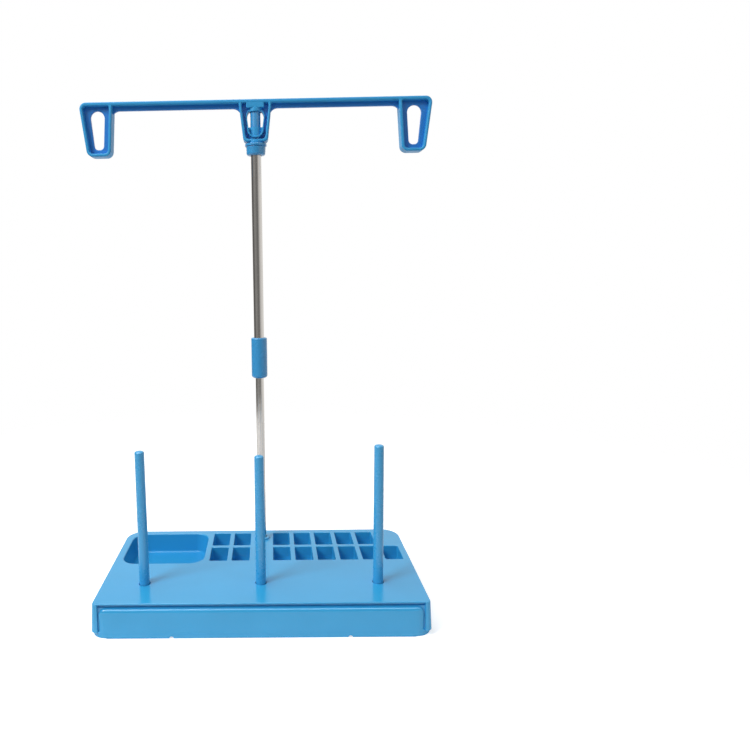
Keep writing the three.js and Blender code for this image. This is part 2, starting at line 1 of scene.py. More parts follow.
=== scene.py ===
# %% [markdown]
# # A thread spool stand, dressed for its portrait
# The stand is a low blue moulding with a tray and bobbin pockets, three spool pins, and a thin
# steel mast that carries a blue thread guide. The CAD model fixes every size and every joint.
# This lesson gives each part the fine surface that the eye looks for: rounded edges, drafted
# walls, polished steel and glossy plastic. The first step loads the CAD model as a frame.

# %% Load the frame
import math

import bmesh
import bpy
import numpy as np
from mathutils import Matrix, Vector
from mathutils.geometry import delaunay_2d_cdt


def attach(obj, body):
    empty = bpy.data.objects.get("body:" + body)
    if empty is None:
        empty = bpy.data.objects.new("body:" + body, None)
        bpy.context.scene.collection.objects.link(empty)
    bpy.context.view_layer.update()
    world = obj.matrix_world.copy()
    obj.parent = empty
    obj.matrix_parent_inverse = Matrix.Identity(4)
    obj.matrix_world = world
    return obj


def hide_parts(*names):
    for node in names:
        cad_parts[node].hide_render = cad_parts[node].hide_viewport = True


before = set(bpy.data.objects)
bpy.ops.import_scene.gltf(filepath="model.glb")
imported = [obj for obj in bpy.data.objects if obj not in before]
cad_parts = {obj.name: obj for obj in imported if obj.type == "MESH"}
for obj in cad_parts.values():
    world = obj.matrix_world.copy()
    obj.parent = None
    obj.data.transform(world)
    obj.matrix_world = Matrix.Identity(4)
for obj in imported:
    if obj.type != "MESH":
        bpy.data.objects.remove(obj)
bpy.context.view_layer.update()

MM = 0.001
print("nodes in the frame:", sorted(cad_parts))

# %% [markdown]
# ## The camera
# A product photograph of a small object is taken from about half a metre away, a little above
# the plate, looking slightly down. The object stands left of the middle of the picture, so the
# film is shifted sideways instead of turning the camera, which keeps the base's front edge
# level. The camera is tipped by one degree.

# %% Place the camera
FOCAL_PIXELS = 629.4
PICTURE_PIXELS = 750.0
FILM_WIDTH = 36.0
CAMERA_PLACE = Vector((9.27, -432.65, 230.36)) * MM
CAMERA_PITCH = 0.1294
CAMERA_ROLL = 0.0162
CAMERA_YAW = 0.0157
AXIS_PIXEL = (261.7, 354.7)


def aim_camera():
    """Forward dips by the pitch and turns left by the yaw. Right dips by the roll."""
    side = Vector((math.cos(CAMERA_YAW), math.sin(CAMERA_YAW), 0.0))
    ahead = Vector((-math.sin(CAMERA_YAW), math.cos(CAMERA_YAW), 0.0))
    forward = ahead * math.cos(CAMERA_PITCH) - Vector((0.0, 0.0, math.sin(CAMERA_PITCH)))
    level_up = side.cross(forward)
    right = side * math.cos(CAMERA_ROLL) - level_up * math.sin(CAMERA_ROLL)
    up = right.cross(forward)
    turn = Matrix((right, up, -forward)).transposed()
    data = bpy.data.cameras.new("portrait_camera")
    data.sensor_width = FILM_WIDTH
    data.lens = FOCAL_PIXELS / PICTURE_PIXELS * FILM_WIDTH
    data.shift_x = (PICTURE_PIXELS / 2 - AXIS_PIXEL[0]) / PICTURE_PIXELS
    data.shift_y = (AXIS_PIXEL[1] - PICTURE_PIXELS / 2) / PICTURE_PIXELS
    data.clip_start = 0.01
    camera = bpy.data.objects.new("portrait_camera", data)
    camera.matrix_world = Matrix.Translation(CAMERA_PLACE) @ turn.to_4x4()
    bpy.context.scene.collection.objects.link(camera)
    bpy.context.scene.camera = camera
    print(f"lens {data.lens:.2f} mm, shift {data.shift_x:.3f}, {data.shift_y:.3f}")


aim_camera()

# %% [markdown]
# ## Surfaces from grids
# Every new part here is a set of patches. A patch is a table of points with rows and columns,
# and its faces are the little squares between neighbours. The whole table is worked out at once,
# so no loop runs over the points. Patches share their edge points, and merging those closes the
# surface. Blender can then tell inside from outside and point every face outwards.

# %% Patches, and the piece they make
def patch(points, closed=False):
    """Point (r, c) of rows x columns x 3 has the number r * columns + c; a closed row joins its ends."""
    rows, columns, _ = points.shape
    r, c = np.meshgrid(np.arange(rows - 1), np.arange(columns if closed else columns - 1), indexing="ij")
    ahead = (c + 1) % columns
    squares = [r * columns + c, r * columns + ahead, (r + 1) * columns + ahead, (r + 1) * columns + c]
    return points.reshape(-1, 3), np.stack(squares, axis=-1).reshape(-1, 4)


def mesh_object(name, points, faces, material):
    """A mesh with one material, put into the scene unmoved."""
    mesh = bpy.data.meshes.new(name)
    mesh.from_pydata(points, [], faces)
    mesh.materials.append(material)
    thing = bpy.data.objects.new(name, mesh)
    bpy.context.scene.collection.objects.link(thing)
    return thing


CREASE_DEGREES = 32.0


def make_piece(name, patches, body, nodes, material):
    """Join patches in millimetres into one closed mesh in metres, and hang it on its CAD body."""
    points = np.concatenate([p for p, _ in patches]) * MM
    starts = np.cumsum([0] + [len(p) for p, _ in patches[:-1]])
    faces = [face for start, (_, f) in zip(starts, patches) for face in (f + start).tolist()]
    piece = mesh_object(name, points.tolist(), faces, material)
    mesh = piece.data
    work = bmesh.new()
    work.from_mesh(mesh)
    bmesh.ops.remove_doubles(work, verts=work.verts, dist=2e-6)
    bmesh.ops.dissolve_degenerate(work, dist=1e-7, edges=work.edges)
    bmesh.ops.recalc_face_normals(work, faces=work.faces)
    bmesh.ops.delete(work, geom=[edge for edge in work.edges if not edge.link_faces], context="EDGES")
    open_edges = sum(1 for edge in work.edges if len(edge.link_faces) != 2)
    work.to_mesh(mesh)
    work.free()
    mesh.polygons.foreach_set("use_smooth", np.ones(len(mesh.polygons), dtype=bool))
    mesh.set_sharp_from_angle(angle=math.radians(CREASE_DEGREES))
    weighted = piece.modifiers.new("flat_faces_stay_flat", "WEIGHTED_NORMAL")
    weighted.keep_sharp = True
    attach(piece, body)
    if nodes:
        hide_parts(*nodes)
    print(f"{name}: {len(mesh.vertices)} points, {len(mesh.polygons)} faces, {open_edges} open edges")


# %% [markdown]
# ## Moulded plastic
# The plastic is a hard, glossy one. What makes it look real is small: a face is never quite
# flat, so reflections wander; the surface has a faint grain from the mould; and handling leaves
# soft patches where the gloss is a little lower. All three come from noise on the object's own
# coordinates, at scales of centimetres, millimetres and tenths of a millimetre.

# %% Node helpers and the plastic
def node_tools(tree):
    """Empties a node tree and gives back add, which makes a node and links or sets its inputs by name."""
    tree.nodes.clear()

    def add(kind, settings=(), **inputs):
        node = tree.nodes.new(kind)
        for key, value in settings:
            setattr(node, key, value)
        for key, value in inputs.items():
            feed(tree, node.inputs[key.replace("_", " ")], value)
        return node

    return add


def feed(tree, socket, value):
    """Links a socket to another one, or sets it to a constant."""
    if isinstance(value, bpy.types.NodeSocket):
        tree.links.new(value, socket)
    else:
        socket.default_value = value


def new_material(name):
    material = bpy.data.materials.new(name)
    material.use_nodes = True
    return material, material.node_tree, node_tools(material.node_tree)


def join(tree, node, *sockets):
    """Links sockets to a node's inputs in order, and gives back its output."""
    for socket, value in zip(node.inputs, sockets):
        tree.links.new(value, socket)
    return node.outputs[0]


def combine(tree, add, operation, *sockets):
    """Adds or multiplies two sockets; a sum stays between 0 and 1."""
    node = add("ShaderNodeMath", [("operation", operation), ("use_clamp", operation == "ADD")])
    return join(tree, node, *sockets)


def ramp(add, value, settings=(), **limits):
    """The value's place between From_Min and From_Max, carried over to To_Min and To_Max."""
    return add("ShaderNodeMapRange", settings, Value=value, **limits).outputs["Result"]


def blend_colours(tree, add, factor, *colours):
    """The first colour where the factor is 0, the second where it is 1."""
    node = add("ShaderNodeMix", [("data_type", "RGBA")], Factor=factor)
    for socket, colour in zip([s for s in node.inputs if s.type == "RGBA"], colours):
        feed(tree, socket, (*colour, 1.0) if isinstance(colour, tuple) else colour)
    return next(socket for socket in node.outputs if socket.type == "RGBA")


# Painted shade: in the tray's box the base plastic gets a deeper blue for the shade in that recess, and its
# sheen is lowered.
TRAY_BOX = (-102.4, -42.4, -0.6, 51.4)
TRAY_SHADE_AND_SHEEN_HEIGHTS, TRAY_SHADE_AND_SHEEN_FADE = (1.3, 20.7), 0.8
FULL_SHEEN, TRAY_SHEEN = 0.5, 0.15


def in_tray(tree, add, place):
    """1 in the tray's box and 0 outside, the mask of the tray's painted shade and lower sheen: a ramp on each
    distance from the middle, and their product.
    """
    left, right, front, back = TRAY_BOX
    low, high = np.column_stack([(left, right), (front, back), TRAY_SHADE_AND_SHEEN_HEIGHTS]) * MM
    fade = TRAY_SHADE_AND_SHEEN_FADE * MM
    edges = (high - low) / 2 + fade
    offset = add("ShaderNodeVectorMath", [("operation", "SUBTRACT")], Vector=place)
    offset.inputs[1].default_value = (low + high) / 2
    away = add("ShaderNodeVectorMath", [("operation", "ABSOLUTE")], Vector=offset.outputs["Vector"])
    axes = add("ShaderNodeSeparateXYZ", Vector=away.outputs["Vector"])
    x, y, z = [
        ramp(add, socket, From_Min=edge + fade, From_Max=edge) for socket, edge in zip(axes.outputs, edges)
    ]
    return combine(tree, add, "MULTIPLY", combine(tree, add, "MULTIPLY", x, y), z)


def moulded_plastic(name, colour, gloss_low, gloss_high, ripple, grain, index=1.6, tray_shade_colour=None):
    """
    Colour varies by a few percent, roughness runs from gloss_low to gloss_high, and two bumps add up.
    In the tray the colour is painted a deeper blue as shade, and the sheen is weaker.
    """
    material, tree, add = new_material(name)
    place = add("ShaderNodeTexCoord").outputs["Object"]
    flow = add("ShaderNodeTexNoise", Vector=place, Scale=28.0, Detail=3.0, Roughness=0.55)
    smear = add("ShaderNodeTexNoise", Vector=place, Scale=140.0, Detail=4.0, Roughness=0.6)
    speck = add("ShaderNodeTexNoise", Vector=place, Scale=2600.0, Detail=2.0, Roughness=0.5)
    dark = tuple(channel * 0.93 for channel in colour)
    light = tuple(min(channel * 1.05 + 0.004, 1.0) for channel in colour)
    body_colour, sheen = blend_colours(tree, add, flow.outputs["Fac"], dark, light), FULL_SHEEN
    if tray_shade_colour is not None:
        # painted shade: the deeper blue fills the tray's recess
        inside = in_tray(tree, add, place)
        body_colour = blend_colours(tree, add, inside, body_colour, tray_shade_colour)
        sheen = ramp(add, inside, To_Min=FULL_SHEEN, To_Max=TRAY_SHEEN)
    gloss = ramp(add, smear.outputs["Fac"], From_Min=0.3, From_Max=0.7, To_Min=gloss_low, To_Max=gloss_high)
    wander = add("ShaderNodeBump", Height=flow.outputs["Fac"], Strength=ripple, Distance=0.001)
    skin = add(
        "ShaderNodeBump", Height=speck.outputs["Fac"], Strength=grain, Distance=0.00005,
        Normal=wander.outputs["Normal"],
    )
    shader = add(
        "ShaderNodeBsdfPrincipled", Base_Color=body_colour, Roughness=gloss,
        Normal=skin.outputs["Normal"], IOR=index, Specular_IOR_Level=sheen,
    )
    add("ShaderNodeOutputMaterial", Surface=shader.outputs["BSDF"])
    return material


# The second colour is the tray's painted shade.
BASE_PLASTIC = moulded_plastic(
    "base_plastic", (0.030, 0.365, 0.700), 0.16, 0.24, 0.10, 0.08, tray_shade_colour=(0.024, 0.295, 0.615)
)
PIN_PLASTIC = moulded_plastic("pin_plastic", (0.042, 0.365, 0.700), 0.24, 0.32, 0.05, 0.05)
GUIDE_PLASTIC = moulded_plastic("guide_plastic", (0.035, 0.310, 0.640), 0.20, 0.30, 0.08, 0.12)
BAR_PLASTIC = moulded_plastic("bar_plastic", (0.038, 0.345, 0.690), 0.30, 0.38, 0.06, 0.08, 1.28)
# Painted shade: the web is the bar's blue made darker, for the shade in its recess under the flange and
# between the rims.
SHADED_WEB_PLASTIC = moulded_plastic("web_plastic_painted_shade", (0.012, 0.215, 0.640), 0.30, 0.38, 0.06, 0.08, 1.4)

# %% [markdown]
# ## Drawn steel
# The mast's tubes are drawn through a die and polished, so they mirror the room and carry very
# fine lines along their length. Stretching a noise twenty times along the tube makes the lines.
# The plug in the lower tube's mouth is white plastic, and only its rim can be seen.

# %% The steel, and the plug's plastic
def drawn_steel(name, colour, roughness):
    """Noise with its height coordinate squeezed by twenty gives lines along the tube."""
    material, tree, add = new_material(name)
    place = add("ShaderNodeTexCoord").outputs["Object"]
    squeezed = add("ShaderNodeMapping", Vector=place, Scale=(1.0, 1.0, 0.05))
    lines = add("ShaderNodeTexNoise", Vector=squeezed.outputs["Vector"], Scale=1800.0, Detail=3.0)
    haze = add("ShaderNodeTexNoise", Vector=place, Scale=60.0, Detail=3.0)
    tone = blend_colours(
        tree, add, haze.outputs["Fac"], tuple(c * 0.93 for c in colour), tuple(c * 1.05 for c in colour)
    )
    shine = ramp(
        add, lines.outputs["Fac"], From_Min=0.3, From_Max=0.7, To_Min=roughness * 0.75, To_Max=roughness * 1.4
    )
    ridges = add("ShaderNodeBump", Height=lines.outputs["Fac"], Strength=0.12, Distance=0.00004)
    shader = add(
        "ShaderNodeBsdfPrincipled", Base_Color=tone, Roughness=shine,
        Normal=ridges.outputs["Normal"], Metallic=1.0,
    )
    add("ShaderNodeOutputMaterial", Surface=shader.outputs["BSDF"])
    return material


TUBE_STEEL = drawn_steel("tube_steel", (0.62, 0.60, 0.575), 0.12)
PLUG_PLASTIC = moulded_plastic("plug_plastic", (0.72, 0.73, 0.74), 0.35, 0.5, 0.05, 0.2)

# %% [markdown]
# ## Turned parts
# Pins, tubes, sleeve and collar are all round about a standing axis. Each is a closed outline of
# radius and height, carried once round that axis. Rounded corners in the outline are real arcs,
# because a bright line along a soft edge is what tells the eye that a thing is moulded.

# %% Turn a profile
MAST_AXIS = (0.0, 42.4)
PIN_ROW = -30.0
PIN_SPACING = 79.0
PIN_AXES = {"left": (-PIN_SPACING, PIN_ROW), "middle": (0.0, PIN_ROW), "right": (PIN_SPACING, PIN_ROW)}


def softened(corners, steps=5):
    """Replaces each corner (place, height, round) by an arc that touches both of its sides."""
    corners = np.array(corners, dtype=float)
    here, size = corners[:, :2], corners[:, 2]
    back = np.roll(here, 1, axis=0) - here
    ahead = np.roll(here, -1, axis=0) - here
    back /= np.linalg.norm(back, axis=1, keepdims=True)
    ahead /= np.linalg.norm(ahead, axis=1, keepdims=True)
    half = np.arccos(np.clip((back * ahead).sum(axis=1), -1.0, 1.0)) / 2
    middle = back + ahead
    middle /= np.maximum(np.linalg.norm(middle, axis=1, keepdims=True), 1e-9)
    centre = here + middle * (size / np.sin(half))[:, None]
    start = here + back * (size / np.tan(half))[:, None] - centre
    side = np.sign(ahead[:, 0] * back[:, 1] - ahead[:, 1] * back[:, 0])
    turn = side * (np.pi - 2 * half)
    t = np.linspace(0.0, 1.0, steps + 1)[None, :] * turn[:, None]
    cos, sin = np.cos(t), np.sin(t)
    x = start[:, 0, None] * cos - start[:, 1, None] * sin
    y = start[:, 0, None] * sin + start[:, 1, None] * cos
    return (centre[:, None, :] + np.stack([x, y], axis=-1)).reshape(-1, 2)


def arc(centre, radius, start, stop, steps=5):
    """Points of an arc in a profile, between two angles in degrees."""
    angle = np.radians(np.linspace(start, stop, steps + 1))
    return [(centre[0] + radius * c, centre[1] + radius * s) for c, s in zip(np.cos(angle), np.sin(angle))]


def turned(profile, axis, rounds=96, looped=True):
    """x = axis x + r cos a, y = axis y + r sin a, z = height. A looped profile ends where it starts."""
    profile = np.array([*profile, profile[0]] if looped else profile)
    angle = np.arange(rounds) / rounds * 2 * np.pi
    radius, height = np.maximum(profile[:, 0], 0.0)[:, None], profile[:, 1][:, None]
    x = axis[0] + radius * np.cos(angle)
    y = axis[1] + radius * np.sin(angle)
    z = np.broadcast_to(height, x.shape)
    return patch(np.stack([x, y, z], axis=-1), closed=True)


# %% [markdown]
# ## Spool pins
# A pin is a plain rod with a rounded tip and a bevelled foot that finds its hole. It is a press fit
# by hand, and here the three stand at slightly different depths, as pins pushed in by hand do.
# A shallow ring marks where the two halves of the mould meet near the tip.

# %% Turn the three pins
PLATE_TOP = 22.6
PIN_LENGTH, PIN_RADIUS, TIP_EDGE = 105.0, 3.4, 1.2
PIN_STAND = {"left": 92.4, "middle": 88.5, "right": 94.8}


def pin_profile(foot):
    """Foot bevel, straight shank, slow taper, mould ring, and an arc round the tip's low crown."""
    top = foot + PIN_LENGTH
    return [
        (0.0, foot), (2.45, foot), (2.62, foot + 0.06), (3.34, foot + 0.78), (PIN_RADIUS, foot + 0.95),
        (PIN_RADIUS, PLATE_TOP + 2.0), (3.165, top - 5.4), (3.1, top - 5.25), (3.16, top - 5.1),
        *arc((1.95, top - 1.44), TIP_EDGE, 0, 78, 8), (1.6, top - 0.19), (0.8, top - 0.05), (0.0, top),
    ]


for side, axis in PIN_AXES.items():
    pin_foot = PLATE_TOP + PIN_STAND[side] - PIN_LENGTH
    make_piece(
        f"pin_{side}_turned", [turned(pin_profile(pin_foot), axis)], f"pin_{side}",
        [f"spool_pin_{side}"], PIN_PLASTIC,
    )

# %% [markdown]
# ## The telescopic mast
# Two steel tubes slide in each other. Their cut ends are broken by a fine bevel. The blue sleeve
# grips the upper tube's foot, and a stop plug in the lower tube's mouth keeps it centred.

# %% Turn the tubes, the plug and the sleeve
TUBES = {
    "mast_lower_tube": ("mast_lower", 3.15, 0.4, 5.0, 177.0),
    "mast_upper_tube": ("mast_upper", 3.8, 0.35, 162.0, 320.9),
}
for node, (body, outer, wall, foot, top) in TUBES.items():
    ring = softened([
        (outer - wall, foot, 0.03), (outer, foot, 0.12), (outer, top, 0.12), (outer - wall, top, 0.03),
    ], steps=3)
    make_piece(f"{node}_drawn", [turned(ring, MAST_AXIS, 128)], body, [node], TUBE_STEEL)

PLUG_SEAT = 177.3
plug = softened([
    (0.0, PLUG_SEAT - 8.0, 0.0), (2.45, PLUG_SEAT - 8.0, 0.5), (2.45, PLUG_SEAT, 0.0),
    (3.15, PLUG_SEAT, 0.1), (3.15, PLUG_SEAT + 2.0, 0.5), (0.0, PLUG_SEAT + 2.0, 0.0),
])
make_piece(
    "mast_stop_plug_moulded", [turned(plug, MAST_AXIS, 64)], "mast_lower", ["mast_stop_plug"],
    PLUG_PLASTIC,
)

SLEEVE_FOOT, SLEEVE_STEP, SLEEVE_TOP = 151.0, 161.7, 181.6
sleeve = softened([
    (3.45, SLEEVE_FOOT, 0.5), (6.0, SLEEVE_FOOT, 2.1), (6.0, SLEEVE_TOP, 0.9),
    (4.1, SLEEVE_TOP, 0.25), (4.1, SLEEVE_STEP, 0.0), (3.45, SLEEVE_STEP, 0.0),
], steps=8)
make_piece(
    "mast_sleeve_moulded", [turned(sleeve, MAST_AXIS)], "mast_upper", ["mast_sleeve"],
    GUIDE_PLASTIC,
)

# %% [markdown]
# ## The top collar
# A blue cap closes the upper tube. Its flange carries the thread guide, and a peg in one piece
# with it stands up into the guide as the bearing, so the guide can swing right round.

# %% Turn the collar
COLLAR_FOOT, COLLAR_TOP, PEG_TOP = 315.3, 323.4, 350.9
collar = softened([
    (4.1, COLLAR_FOOT, 0.3), (6.8, COLLAR_FOOT, 1.5), (7.1, 321.1, 0.25), (6.6, 321.65, 0.15),
    (7.9, 321.7, 0.3), (7.9, COLLAR_TOP, 0.4), (3.7, COLLAR_TOP, 0.3), (3.7, PEG_TOP, 0.9),
    (0.0, PEG_TOP, 0.0), (0.0, 321.2, 0.0), (4.1, 321.2, 0.0),
])
make_piece(
    "mast_top_collar_moulded", [turned(collar, MAST_AXIS)], "mast_upper", ["mast_top_collar"],
    GUIDE_PLASTIC,
)

# %% [markdown]
# ## Flat faces with holes
# A moulded plate is flat between its openings. The face is cut into triangles that follow the
# outline and every hole. The rounded edge of each hole then starts from exactly those points, so
# the surface stays closed.

# %% Fill a flat region round its holes
def inside_convex(points, outline):
    """True where a point lies on the same side of every edge of a convex outline."""
    edge = np.roll(outline, -1, axis=0) - outline
    gap = points[:, None, :] - outline[None, :, :]
    cross = edge[None, :, 0] * gap[:, :, 1] - edge[None, :, 1] * gap[:, :, 0]
    return (cross > 0).all(axis=1) | (cross < 0).all(axis=1)


def flat_region(outer, holes):
    """Triangles inside outer and outside the holes, as points and faces in the plane."""
    loops = [outer, *holes]
    starts = np.cumsum([0] + [len(loop) for loop in loops[:-1]])
    edges = [
        (start + i, start + (i + 1) % len(loop))
        for start, loop in zip(starts.tolist(), loops) for i in range(len(loop))
    ]
    flat = [Vector(point) for point in np.concatenate(loops).tolist()]
    points, _, faces, _, _, _ = delaunay_2d_cdt(flat, edges, [], 1, 1e-5)
    points = np.array([(p.x, p.y) for p in points])
    faces = np.array([list(face) for face in faces])
    middles = points[faces].mean(axis=1)
    keep = np.ones(len(faces), dtype=bool)
    for hole in holes:
        keep &= ~inside_convex(middles, hole)
    return points, faces[keep]


def flat_patch(outer, holes, place, standing=False):
    """The flat region laid level at the height place, or standing in X and Z at the depth place."""
    points, faces = flat_region(outer, holes)
    return np.insert(points, 1 if standing else 2, place, axis=1), faces


# %% [markdown]
# ## The base moulding
# The base is a shallow box open at the bottom. Its outline is a rectangle with tight corners at
# the front and wide ones at the back. Going down from the plate: a rounded crown, a thin rim, a
# groove above the front panel, the drafted wall, and a foot lip with a rounded shoulder. The
# inside is upright. Each level is one ring, and the rings are joined in order.

# %% Rings of the base, from the plate's edge down and back up inside
HALF_LENGTH, HALF_DEPTH = 108.0, 57.0
RIM_ROUND = 0.6
RIM_FOOT = PLATE_TOP - RIM_ROUND
CEILING = 20.4
BODY_FOOT, BODY_DRAFT = 3.4, 1.0
FRONT_RADIUS, BACK_RADIUS = 2.2, 13.0
GROOVE_HALF, GROOVE_DEEP, CHANNEL_DEEP = 104.4, 2.3, 1.4
NOTCH_PLACE, NOTCH_RADIUS = 57.0, 1.4


def corner_ring(left, right, front, back, radii, steps=10):
    """Four quarter circles: corner centre + radius * (cos a, sin a), counter-clockwise."""
    radii = np.maximum(np.array(radii, dtype=float), 0.05)
    centres = np.array([
        [left + radii[0], front + radii[0]], [right - radii[1], front + radii[1]],
        [right - radii[2], back - radii[2]], [left + radii[3], back - radii[3]],
    ])
    angle = np.array([np.pi, 1.5 * np.pi, 0.0, 0.5 * np.pi])[:, None] + np.linspace(0, np.pi / 2, steps + 1)
    unit = np.stack([np.cos(angle), np.sin(angle)], axis=-1)
    return (centres[:, None, :] + radii[:, None, None] * unit).reshape(-1, 2)


def fronted_ring(x, set_back, reach, front_radius, back_radius):
    """The plate's outline moved outwards by reach, with more points along the front, each set back."""
    half, depth = HALF_LENGTH + reach, HALF_DEPTH + reach
    ring = corner_ring(-half, half, -depth, depth, (front_radius, front_radius, back_radius, back_radius))
    corner = len(ring) // 4
    return np.concatenate([ring[:corner], np.column_stack([x, set_back - depth]), ring[corner:]])


def base_ring(reach, front_radius, back_radius, groove=0.0):
    """Four points along the front, of which the middle two can be set back by the groove's depth."""
    x = np.array([-GROOVE_HALF - 0.25, -GROOVE_HALF, GROOVE_HALF, GROOVE_HALF + 0.25])
    return fronted_ring(x, groove * np.array([0.0, 1.0, 1.0, 0.0]), reach, front_radius, back_radius)


def level_rings(levels, ring_at):
    """Rows of a patch: one ring for each (reach, height, more...) level."""
    rings = [(ring_at(*rest), z) for z, *rest in levels]
    return np.stack([np.column_stack([ring, np.full(len(ring), z)]) for ring, z in rings])


def arc_levels(reach, z, radius, start, stop, radii, steps=5):
    """Levels on an arc about (reach, z); the corner radii grow with the reach."""
    front, back = radii
    return [
        (height, out, front + out - reach, back + out - reach)
        for out, height in arc((reach, z), radius, start, stop, steps)
    ]


def wall_level(z, groove=0.0):
    """The wall leans out evenly from the plate's rim to the body's foot."""
    reach = BODY_DRAFT * (RIM_FOOT - z) / (RIM_FOOT - BODY_FOOT)
    return (z, reach, FRONT_RADIUS + reach, BACK_RADIUS + reach, groove)


def inside_level(z, reach=-2.0, groove=0.0):
    return (z, reach, 0.8, BACK_RADIUS + reach, groove)


def body_skin():
    """Outer side from crown to the body's foot, then the inner side up to the ceiling."""
    crown = (FRONT_RADIUS - RIM_ROUND, BACK_RADIUS - RIM_ROUND)
    return patch(level_rings([
        *arc_levels(-RIM_ROUND, RIM_FOOT, RIM_ROUND, 90, 0, crown),
        wall_level(21.95), wall_level(21.8, 0.08), wall_level(21.75, 0.3), wall_level(21.75, GROOVE_DEEP),
        wall_level(19.5, GROOVE_DEEP), wall_level(19.5, CHANNEL_DEEP), wall_level(18.9, CHANNEL_DEEP),
        wall_level(BODY_FOOT + 0.3, CHANNEL_DEEP), (BODY_FOOT, 0.7, 2.9, 13.7, CHANNEL_DEEP),
        inside_level(BODY_FOOT), inside_level(16.0), inside_level(17.0, groove=GROOVE_DEEP),
        inside_level(19.9, groove=GROOVE_DEEP), inside_level(20.25, -2.15, GROOVE_DEEP),
        inside_level(CEILING, -2.5, GROOVE_DEEP),
    ], base_ring), closed=True)


def notch_rise(x):
    """Height of the two half-round notches in the foot: the square root of r squared less dx squared."""
    return np.sqrt(np.maximum(NOTCH_RADIUS ** 2 - (np.abs(x) - NOTCH_PLACE) ** 2, 0.0))


def notch_stations():
    """Places along the foot where a notch's outline is drawn, from left to right."""
    across = NOTCH_PLACE + NOTCH_RADIUS * np.sin(np.linspace(-np.pi / 2, np.pi / 2, 13))
    return np.concatenate([-across[::-1], across])


def lip_ring(reach, front_radius, back_radius):
    x = notch_stations()
    return fronted_ring(x, 0.0 * x, reach, front_radius, back_radius)


def lip_skin():
    """The foot lip as a closed ring of its own: foot, outer face, shoulder, and the wall inside."""
    grid = level_rings([
        (0.0, -1.9, 2.9, 11.1), (0.0, 0.9, 9.1, 14.6),
        *arc_levels(0.9, 0.4, 0.4, -90, 0, (9.1, 14.6), 3),
        *arc_levels(-0.1, 3.6, 1.4, 0, 90, (8.1, 13.6), 7),
        (5.0, -1.9, 2.9, 11.1), (0.0, -1.9, 2.9, 11.1),
    ], lip_ring)
    front = grid[..., 1] < -HALF_DEPTH / 2
    grid[..., 2] = np.where(front, np.maximum(grid[..., 2], notch_rise(grid[..., 0])), grid[..., 2])
    return patch(grid, closed=True)


# %% [markdown]
# ## Bobbin pockets
# A bobbin stands on its rim in each pocket, so the pocket is a half-round trough: two flat cheeks
# and a floor that follows the bobbin. Sweeping a U from nothing to its full radius draws a cheek,
# a short blend turns the corner, and the same again on the other side closes the trough. The
# trough that shows under the base is the same shape, grown by the wall.

# %% One pocket, inside and outside
POCKET_WIDTH, POCKET_LENGTH, POCKET_DEEP = 12.8, 22.3, 18.0
POCKET_PITCH, ROW_PITCH = 16.35, 25.85
POCKET_BACK = 51.4
LEFT_POCKETS, RIGHT_POCKETS = -21.9, 8.6
POCKET_WALL = 1.0
POCKET_RIM = 0.6


def pocket_places():
    """Left edge and middle depth of all fifteen pockets."""
    left = [(LEFT_POCKETS - POCKET_PITCH * i, row) for row in (0, 1) for i in range(2)]
    right = [(RIGHT_POCKETS + POCKET_PITCH * i, row) for row in (0, 1) for i in range(5 + row)]
    return [(x, POCKET_BACK - POCKET_LENGTH / 2 - ROW_PITCH * row) for x, row in left + right]


def trough(x_left, y_middle, grow, top, corner):
    """U curves: legs at y = -rho and rho over a half circle; rho grows, then the corner turns."""
    radius = POCKET_LENGTH / 2 + grow
    half = POCKET_WIDTH / 2 + grow
    centre_z = PLATE_TOP - POCKET_DEEP + POCKET_LENGTH / 2
    t = np.linspace(0.0, np.pi / 2, 6)
    rho = np.concatenate([[0.0, (radius - corner) / 2], radius - corner + corner * np.sin(t)])
    x = np.concatenate([[-half, -half], -half + corner * (1 - np.cos(t))])
    out_x = np.concatenate([[-1.0, -1.0], -np.cos(t)])
    out_y = np.concatenate([[0.0, 0.0], np.sin(t)])
    rho, x = np.concatenate([rho, rho[::-1]]), np.concatenate([x, -x[::-1]])
    out_x, out_y = np.concatenate([out_x, -out_x[::-1]]), np.concatenate([out_y, out_y[::-1]])
    angle = np.linspace(np.pi, 2 * np.pi, 33)
    y_unit = np.concatenate([[-1.0], np.cos(angle), [1.0]])
    y = y_middle + rho[:, None] * y_unit
    z = np.column_stack([
        np.full(len(rho), top), centre_z + rho[:, None] * np.sin(angle), np.full(len(rho), top)
    ])
    xs = np.broadcast_to((x_left + POCKET_WIDTH / 2 + x)[:, None], z.shape)
    surface = patch(np.stack([xs, y, z], axis=-1))
    near = np.column_stack([xs[:, 0], y[:, 0], out_x, -out_y])
    far = np.column_stack([xs[:, 0], y[:, -1], out_x, out_y])[::-1][1:-1]
    return surface, np.concatenate([near, far])


def flared_rim(loop):
    """From a loop, a quarter round outwards: offset r (1 - cos a) along each normal, height r sin a."""
    angle = np.linspace(0.0, np.pi / 2, 6)[:, None]
    offset = POCKET_RIM * (1 - np.cos(angle))
    x = loop[:, 0] + offset * loop[:, 2]
    y = loop[:, 1] + offset * loop[:, 3]
    z = np.broadcast_to(PLATE_TOP - POCKET_RIM + POCKET_RIM * np.sin(angle), x.shape)
    ring = np.stack([x, y, z], axis=-1)
    return patch(ring, closed=True), ring[-1, :, :2]


# %% [markdown]
# ## Tray, pin sockets and mast socket
# The tray's walls lean out by a few degrees so that it leaves its mould, and its floor meets them
# in a soft curve. Each pin socket is a blind hole with a soft mouth, inside a boss that hangs
# under the plate. The mast's socket is the same with a low collar round its mouth.

